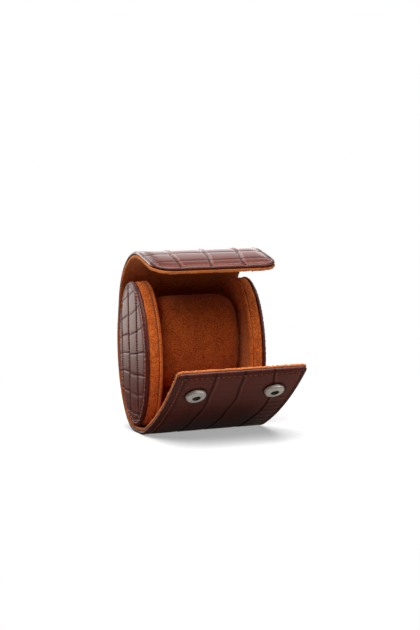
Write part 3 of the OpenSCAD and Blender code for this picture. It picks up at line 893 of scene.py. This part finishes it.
# %% Points evenly round the oval
SIDES = ((-1, "left"), (1, "right"))
AROUND = 420
FINE = 4001
turn = np.linspace(0, 2 * np.pi, FINE)
arc = np.concatenate([[0], np.cumsum(np.hypot(np.diff(DRUM_A * np.cos(turn)),
                                              np.diff(DRUM_B * np.sin(turn))))])
turn = np.interp(np.arange(AROUND) * arc[-1] / AROUND, arc, turn)
OVAL_Y, OVAL_Z = DRUM_A * np.cos(turn), DRUM_B * np.sin(turn)
lean = np.arctan2(np.sin(turn) / DRUM_B, np.cos(turn) / DRUM_A)
OVAL_N = np.stack([np.cos(lean), np.sin(lean)])
print("round a drum: %.0f mm" % arc[-1])

# %% Skins over an oval
CORE_INSET = 8.0


def oval_skin(profile, closed_rings):
    """Rings of points (x, y, z), how far each lies inside the edge, and the faces."""
    insets = [inset for inset, x in profile]
    ys = [OVAL_Y - OVAL_N[0] * q for q in insets]
    zs = [OVAL_Z - OVAL_N[1] * q for q in insets]
    xs = [np.full(AROUND, x) for inset, x in profile]
    deep = [np.full(AROUND, q) for q in insets]
    last_y, last_z, last_x = ys[-1], zs[-1], xs[-1]
    for k in range(1, closed_rings + 1):
        scale = 1 - k / closed_rings
        ys.append(last_y * scale)
        zs.append(last_z * scale)
        xs.append(last_x)
        deep.append(np.full(AROUND, insets[-1] + (1 - scale) * (DRUM_A - CORE_INSET)))
    return (np.stack(xs), np.stack(ys) + DRUM_Y, np.stack(zs) + DRUM_Z, np.stack(deep),
            rolled_faces(len(ys), AROUND))


def oval_piece(name, side, x, y, z, faces, finish, marks, nodes):
    """One skin of the left drum, side -1, or of the right drum, side 1."""
    points = np.stack([side * x, y, z], axis=-1).reshape(-1, 3)
    faces = faces[:, ::-1] if side < 0 else faces
    piece = new_object(name, points, faces, finish, vertex_normals(points, faces),
                       np.stack([y, z], axis=-1).reshape(-1, 2), marks)
    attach(piece, "case")
    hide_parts(*nodes)
    print(name, len(faces), "faces")

# %% [markdown]
# The panel's hide is cut so that its grooves run up and down. They bow a little towards the
# front, and small pits along them show where the embossing roller pressed deepest. The hide is
# turned round a thick edge, where it gathers into small wrinkles.

# %% Relief of a panel
PANEL_GROOVES = [-8.0, 9.6, 26.7]
ROW = 12.8
PANEL_GROOVE_DEPTH, PANEL_CREASE_DEPTH = 0.6, 0.24
CROWN, CROWN_REACH = 0.7, 31


def panel_scales(y, z):
    """Height of a panel's embossing, and how deep in a groove a point lies."""
    high = (z - DRUM_Z) / DRUM_B
    lines = [g + 2.0 * high ** 2 - 1.6 * high + 0.3 * np.sin(z / 6 + g) for g in PANEL_GROOVES]
    gap = np.min([np.abs(y - line) for line in lines], axis=0)
    column = np.sum([y > line for line in lines], axis=0)
    pits = 0.5 + 0.5 * np.cos(z * 4.1 + np.sin(z))
    groove = hump(gap, 0.7 + 0.95 * pits) * (0.3 + 0.7 * pits)
    slant = np.clip(high + 0.2, 0, 1) * 0.35
    place = (z + slant * (y - DRUM_Y)) / ROW + np.choose(column, [0.0, 0.04, -0.03, 0.05])
    away = np.abs(place - np.round(place)) * ROW
    crease = hump(away, CREASE_W)
    swell = ((1 - np.exp(-gap / SWELL_LONG_IN)) * SWELL_LONG
             + (1 - np.exp(-away / SWELL_CROSS_IN)) * SWELL_CROSS)
    height = swell - PANEL_GROOVE_DEPTH * groove - PANEL_CREASE_DEPTH * crease
    return height, np.maximum(1.3 * groove, 0.55 * crease)


def panel_crown(inside):
    """How far the panel's stuffed middle stands out of its edge."""
    return CROWN * (1 - (1 - np.clip(inside / CROWN_REACH, 0, 1)) ** 2)


# %% End panels
PANEL_IN, PANEL_EDGE = 38.3, 40.9
RIM_W, RIM_H, RIM_STEPS = 2.6, 1.8, 18
RING, PANEL_RINGS = 0.35, 46
rim = [(RIM_W * (1 - math.cos(a)), PANEL_EDGE - RIM_H * (1 - math.sin(a)))
       for a in np.radians(np.linspace(0, 90, RIM_STEPS))]
panel_profile = [(1.6, PANEL_IN), (0.6, PANEL_IN + 0.1), (0.1, PANEL_IN + 0.3), *rim]
panel_profile += [(q, PANEL_EDGE) for q in np.arange(RIM_W + RING, CORE_INSET, RING)]
x, y, z, inside, faces = oval_skin(panel_profile, PANEL_RINGS)
height, groove = panel_scales(y, z)
face_on = ramp(x - PANEL_IN - 0.8, 1.0)
fade = ramp(inside - FADE_FROM, FADE_OVER) ** FADE_POWER
round_edge = np.broadcast_to(np.linspace(0, 2 * np.pi, AROUND, endpoint=False), x.shape)
gathers = (0.10 * np.sin(round_edge * 97 + np.sin(round_edge * 13))
           + 0.06 * np.sin(round_edge * 61 + 1.0))
relief = (height * (0.2 + 0.8 * fade) + edge_relief(inside) - LEATHER_SINK
          + gathers * np.exp(-(inside / 3.2) ** 4)) * face_on
# Painted shade in the panel's grooves, their pits, its creases and its seam channel.
groove_shade = np.clip(groove * (0.6 + 0.4 * fade) + 0.35 * hump(inside - SEAM_IN, 0.5), 0, 1)
bead_mark = np.clip((SEAM_IN - 0.3 - inside) / 0.8, 0, 1)
panel_marks = {"groove": groove_shade.ravel(), "bead": bead_mark.ravel()}
x = x + panel_crown(inside) + relief
for side, name in SIDES:
    oval_piece(name + "_panel", side, x, y, z, faces, LEATHER, panel_marks,
               [name + "_panel_leather"])

# %% [markdown]
# The same lockstitch holds each panel to its drum, so the panel's seam is laid from the same
# strands, on the oval instead of on the band.

# %% Stitches of the panels
PANEL_SEAM_SINK = 0.38
line = np.stack([OVAL_Y - OVAL_N[0] * SEAM_IN, OVAL_Z - OVAL_N[1] * SEAM_IN], axis=-1)
strands, strand_faces = seam_strands(np.vstack([line, line[:1]]))
py, pz, pu, seam_faces = joined(strands, strand_faces)
panel_x = PANEL_EDGE + panel_crown(SEAM_IN) - PANEL_SEAM_SINK
for side, name in SIDES:
    points = np.stack([side * (panel_x + pu), py + DRUM_Y, pz + DRUM_Z], axis=-1)
    side_faces = seam_faces[:, ::-1] if side > 0 else seam_faces
    piece = new_object(name + "_panel_seam", points, side_faces, THREAD,
                       flat=np.stack([py, pz], axis=-1))
    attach(piece, "case")
print("panel seams:", len(strands), "stitches each")

# %% [markdown]
# Inside, the suede is glued round the drum's foam and over its face. The wall and the face meet
# in a sunk seam; the dark line round the drum, there and where the wall meets the panel, is painted
# shade.

# %% Suede of the drums
FACE_IN, FACE_OUT, WALL_INSET, FACE_RINGS = 29.5, 31.8, 0.5, 22
wall_profile = [(WALL_INSET + 0.9, PANEL_IN + 0.02), (WALL_INSET + 0.15, PANEL_IN - 0.4)]
wall_profile += [(WALL_INSET + 0.05 * math.sin(v * 2.1), v)
                 for v in np.arange(PANEL_IN - 0.9, FACE_OUT + 0.7, -0.6)]
wall_profile += [(WALL_INSET + 0.2, FACE_OUT + 0.4), (WALL_INSET + 1.0, FACE_OUT + 0.05)]
face_profile = [(1.4, FACE_OUT - 0.02), (0.35, FACE_OUT - 0.15), (0.02, FACE_OUT - 0.7),
                (0.0, FACE_IN + 1.2), (0.2, FACE_IN + 0.5), (0.7, FACE_IN + 0.12),
                (1.4, FACE_IN + 0.02)]
face_profile += [(q, FACE_IN) for q in np.arange(2.2, CORE_INSET, 0.9)]
for profile, rings, part, node in (
        (wall_profile, 0, "_drum_wall_suede", "_drum_wall"),
        (face_profile, FACE_RINGS, "_drum_face_suede", "_drum_face")):
    x, y, z, inside, faces = oval_skin(profile, rings)
    uneven = 0.07 * np.sin(y / 5 + z / 7) * np.sin(z / 4) + 0.02 * rng.standard_normal(x.shape)
    # Painted shade: the edge rings of the wall and the outer ring of the face are marked `groove`
    # and darkened.
    edges = np.zeros_like(x)
    edges[[0, -1] if rings == 0 else [0]] = 1.0
    for side, name in SIDES:
        oval_piece(name + part, side, x + uneven * (inside > 1), y, z, faces[:, ::-1], LIT_DRUM_SUEDE,
                   {"groove": edges.ravel()}, [name + node])

# %% [markdown]
# ## The pillow
#
# The watch is strapped round a loose foam pillow covered in the same suede. Stuffed shapes
# look right when cloth is inflated, so the solid's own mesh is copied a little smaller,
# remeshed evenly, and blown up for twenty frames as cloth. How far a point may move is
# capped, so that the pillow still fits between the drums.

# %% Modifiers and points of a mesh
def apply_modifiers(made):
    """Turns the result of the modifiers into the object's own mesh."""
    graph = bpy.context.evaluated_depsgraph_get()
    mesh = bpy.data.meshes.new_from_object(made.evaluated_get(graph))
    made.modifiers.clear()
    made.data = mesh


def mesh_points(made):
    values = np.empty(len(made.data.vertices) * 3, np.float32)
    made.data.vertices.foreach_get("co", values)
    return values.reshape(-1, 3).astype(float)


# %% Inflate a solid as cloth
CLOTH_FRAMES, CLOTH_TENSION = 20, 18


def inflate(source, name, shrink, cell, pressure, reach):
    """A copy of a solid, shrunk, remeshed to cells and blown up, by at most the reach in mm."""
    made = put(name, source.data.copy())
    made.data.materials.clear()
    centre = sum((Vector(c) for c in made.bound_box), Vector()) / 8
    made.data.transform(Matrix.Translation(centre) @ Matrix.Diagonal((*shrink, 1))
                        @ Matrix.Translation(-centre))
    remesh = made.modifiers.new("even", "REMESH")
    remesh.mode, remesh.voxel_size = "VOXEL", cell * MM
    apply_modifiers(made)
    rest = mesh_points(made)
    cloth = made.modifiers.new("stuffing", "CLOTH")
    cloth.settings.use_pressure = True
    cloth.settings.uniform_pressure_force = pressure
    cloth.settings.effector_weights.gravity = 0
    cloth.settings.tension_stiffness = CLOTH_TENSION
    for step in range(1, CLOTH_FRAMES + 1):
        bpy.context.scene.frame_set(step)
    apply_modifiers(made)
    bpy.context.scene.frame_set(1)
    moved = mesh_points(made) - rest
    length = np.linalg.norm(moved, axis=1, keepdims=True)
    capped = rest + moved * np.minimum(1, reach * MM / np.maximum(length, 1e-9))
    made.data.vertices.foreach_set("co", capped.astype(np.float32).ravel())
    print(name, "moved up to %.2f mm" % (length.max() / MM))
    return made


# %% Pillow
pillow = inflate(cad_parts["pillow_cover"], "pillow_suede", shrink=(0.98, 0.98, 1.0),
                 cell=4.0, pressure=4.0, reach=1.2)
smooth = pillow.modifiers.new("smooth", "SUBSURF")
smooth.levels = smooth.render_levels = 1
apply_modifiers(pillow)
pillow.data.shade_smooth()
pillow.data.materials.append(SHADED_PILLOW_SUEDE)
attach(pillow, "pillow")
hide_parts("pillow_cover")
print("pillow:", len(pillow.data.polygons), "faces")

# %% [markdown]
# ## The solids that stay
#
# The press studs are turned metal, which the solids already give exactly, so they only get the
# nickel: bright and slightly worn, so its roughness varies. The caps of the sockets are half
# metal, half clear lacquer, which keeps them pale where they mirror a dark room, and their
# mouths, round the spring, are painted dark as shade. The boards and foam cores are hidden
# inside the hides, and get plain finishes of their own for whoever takes the case apart.

# %% Board and foam
def plain_finish(name, tone, spot, scale):
    look = Finish(name)
    cloud = look.noise(look.place(solid=True), scale)
    return look.surface(Base_Color=look.mix(cloud, spot, tone), Roughness=cloud * 0.2 + 0.75,
                        Normal=look.bump(cloud, deep=0.2, strength=0.6))


BOARD = plain_finish("grey_board", colour(150, 140, 126), colour(104, 96, 86), 9.0)
FOAM = plain_finish("open_foam", colour(226, 218, 196), colour(176, 164, 138), 22.0)
print("finish:", BOARD.name, FOAM.name)

# %% Nickel
MOUTH_R, MOUTH_SOFT = 2.5, 4.0


def nickel_finish(name, mouth_shade=None, metallic=1.0):
    look = Finish(name)
    where = look.point()
    cloud = look.noise(where, scale=320.0, detail=3.0)
    scuff = look.noise(where, scale=2600.0, detail=2.0)
    tone = look.mix(cloud, colour(242, 238, 226), colour(212, 206, 194))
    if mouth_shade:
        # Painted shade in the mouths of the sockets.
        tone = look.mix(mouth_shade(look, where), tone, colour(30, 26, 24))
    return look.surface(Base_Color=tone, Metallic=metallic,
                        Roughness=cloud * 0.2 + scuff * 0.14 + 0.2,
                        Normal=look.bump(cloud + scuff * 0.3, deep=0.06, strength=0.5))


def mouth_dark(look, where):
    """Painted shade: 1 inside the mouths of the sockets, where shadow gathers, and 0 on their caps.
    """
    centre, ahead = (on_band(0.0, SOCKET_S + d, 0.0) for d in (0.0, 1.0))
    run = (ahead - centre) / np.linalg.norm(ahead - centre)
    off_x = look.along(where, "X").math("ABSOLUTE") - SNAP_X * MM
    off_run = look.towards(where, tuple(run)) - float(centre @ run) * MM
    away = (off_x * off_x + off_run * off_run).math("SQRT") / MM
    return (1 - (away - MOUTH_R) * MOUTH_SOFT).clipped()


NICKEL = nickel_finish("bright_nickel")
SOCKET_NICKEL = nickel_finish("socket_nickel", mouth_dark, 0.6)
print("finish:", NICKEL.name, SOCKET_NICKEL.name)

# %% Finishes of the solids
CARRIED = {"shell_board": BOARD, "left_panel_board": BOARD, "right_panel_board": BOARD,
           "left_drum_core": FOAM, "right_drum_core": FOAM, "pillow_core": FOAM,
           "snap_sockets": SOCKET_NICKEL, "socket_springs": SOCKET_NICKEL, "socket_rivets": NICKEL,
           "snap_studs": NICKEL, "stud_rivets": NICKEL}
for name, finish in CARRIED.items():
    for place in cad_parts[name].material_slots:
        place.material = finish
print("solids that stay:", len(CARRIED))

# %% [markdown]
# ## The room
#
# The floor is pale and plain. The camera sees its paper, which keeps the shadow of the case,
# and away from the case more and more of a white glow. Gloss needs something to reflect, so
# rays that come off a glossy surface see another room: a floor that is dark near the case, but
# for a dim patch in front and at the right, and that glows far behind it.

# %% What a ray is
def rays(look):
    """1 for what the camera sees, and 1 for what is seen in gloss or through something clear."""
    camera, glossy, through = (look.node("ShaderNodeLightPath", output="Is %s Ray" % kind)
                               for kind in ("Camera", "Glossy", "Transmission"))
    return camera, (glossy + through).clipped()


def grey(level):
    return (level, level, level, 1)


WHITE, BLACK = grey(1), grey(0)

# %% Floor
FLOOR_SINK = 0.2
PAPER_SEEN, PAPER_BOUNCED = 0.86, 0.46
WARM_GLOW = (2.3, 2.05, 1.85, 1)
LEAST_GLOW = 0.36  # share of the glow right under the case
AT_RIGHT, IN_FRONT, UNDER = 0.2, 0.17, 0.03  # how bright the near floor is in gloss
look = Finish("white_floor")
camera_ray, bounce = rays(look)
where = look.point()
far = look.node("ShaderNodeVectorMath", {"operation": "LENGTH"}, {0: where}, output="Value")
to_right, to_back = look.along(where, "X"), look.along(where, "Y")
near_case = (1 - far * 5.0).clipped()
at_right = ((to_right - 0.025) * 16.0).clipped()
in_front = ((-0.04 - to_back) * 40.0).clipped()
behind = (to_back * 1.8 - 0.55).clipped()
mirrored = near_case * (at_right * AT_RIGHT + in_front * IN_FRONT + UNDER) + behind
mirrored = look.mix(mirrored, BLACK, WARM_GLOW)
glow = look.node("ShaderNodeEmission", {},
                 {"Color": look.mix(camera_ray, mirrored, WHITE), "Strength": 1.0})
paper = look.node("ShaderNodeBsdfDiffuse", {}, {
    "Color": look.mix(camera_ray, grey(PAPER_BOUNCED), grey(PAPER_SEEN)), "Roughness": 0.5})
away = (far * 4.0 - 0.5).clipped()
share = camera_ray * (away * (1 - LEAST_GLOW) + LEAST_GLOW) + bounce
shown = look.node("ShaderNodeMixShader", {}, {0: share, 1: paper, 2: glow})
look.node("ShaderNodeOutputMaterial", {}, {"Surface": shown})

floor_mesh = bpy.data.meshes.new("floor")
floor_mesh.from_pydata([(-4, -4, 0), (4, -4, 0), (4, 6, 0), (-4, 6, 0)], [], [(0, 1, 2, 3)])
floor_mesh.materials.append(look.owner)
floor = put("floor", floor_mesh)
floor.location.z = -FLOOR_SINK * MM
print("floor lies %.1f mm under the case" % FLOOR_SINK)

# %% [markdown]
# The world is white for the camera. In gloss it is nearly black but for three soft bright
# patches: a large one low behind the case, a card in front on the right, and a dim one overhead.
# The glaze so shows soft bright bands only where it leans to one of them. For all other rays
# it is a weak and even light.

# %% World
DARK, EVEN = 0.05, 0.085
world = bpy.data.worlds.new("studio")
bpy.context.scene.world = world
sky = Finish(owner=world)
camera_ray, bounce = rays(sky)
direction = sky.node("ShaderNodeTexCoord", output="Generated")


def bright_patch(axis, start, gain, top):
    """Bright round an axis: from where its cosine is the start, by the gain, up to the top."""
    return ((sky.towards(direction, axis) - start) * gain).clipped(top)


patches = (bright_patch((-0.1, 0.89, -0.44), start=0.32, gain=6.0, top=2.8)
           + bright_patch((0.8, -0.6, 0.0), start=0.6, gain=5.0, top=1.6)
           + bright_patch((0.25, -0.1, 0.96), start=0.85, gain=8.0, top=0.45))
level = (camera_ray + bounce * (patches * (1 - DARK) + DARK)
         + (1 - camera_ray - bounce).clipped() * EVEN)
shine = sky.node("ShaderNodeBackground", {}, {"Color": WHITE, "Strength": level})
sky.node("ShaderNodeOutputWorld", {}, {"Surface": shine})
print("world:", world.name)

# %% [markdown]
# Two soft boxes light the case: a broad one above it, to the left and in front, which lights the
# flaps and the drums, and a small weak one above on the right, a little behind, which lifts the
# edges there.

# %% Lamps
def soft_box(name, place, target, size, watts):
    data = bpy.data.lights.new(name, "AREA")
    data.shape, data.size, data.size_y, data.energy = "RECTANGLE", size, size, watts
    lamp = put(name, data)
    lamp.location = place
    lamp.rotation_euler = (Vector(target) - Vector(place)).to_track_quat("-Z", "Y").to_euler()
    print(name, watts, "W")


soft_box("key", (-0.2, -0.28, 0.8), target=(0, 0, 0.06), size=1.0, watts=16.0)
soft_box("rim", (0.34, 0.12, 0.86), target=(0, 0, 0.08), size=0.3, watts=2.5)

# %% [markdown]
# The camera stands a little to the left of the case, almost level with it, and leans by a degree
# or two. It is placed by the point that it looks at, the way to it, and its roll.

# %% Camera
TARGET = Vector((0.0137839, 0.0059356, 0.0736205))
AZIMUTH, ELEVATION, ROLL = (math.radians(v) for v in (19.64, 3.4, -1.7015))
DISTANCE = 0.85155
LENS, SENSOR = 73.32, 36.0
back = Vector((-math.sin(AZIMUTH) * math.cos(ELEVATION), -math.cos(AZIMUTH) * math.cos(ELEVATION),
               math.sin(ELEVATION)))
right = (-back).cross(Vector((0, 0, 1))).normalized()
up = right.cross(-back)
right, up = (math.cos(ROLL) * right + math.sin(ROLL) * up,
             -math.sin(ROLL) * right + math.cos(ROLL) * up)
camera_data = bpy.data.cameras.new("camera")
camera_data.sensor_fit, camera_data.sensor_height = "VERTICAL", SENSOR
camera_data.lens = LENS
camera = put("camera", camera_data)
turned = Matrix((right, up, back)).transposed().to_4x4()
camera.matrix_world = Matrix.Translation(TARGET + back * DISTANCE) @ turned
bpy.context.scene.camera = camera
bpy.context.scene.view_settings.view_transform = "Standard"
print("camera %.2f m away" % DISTANCE)
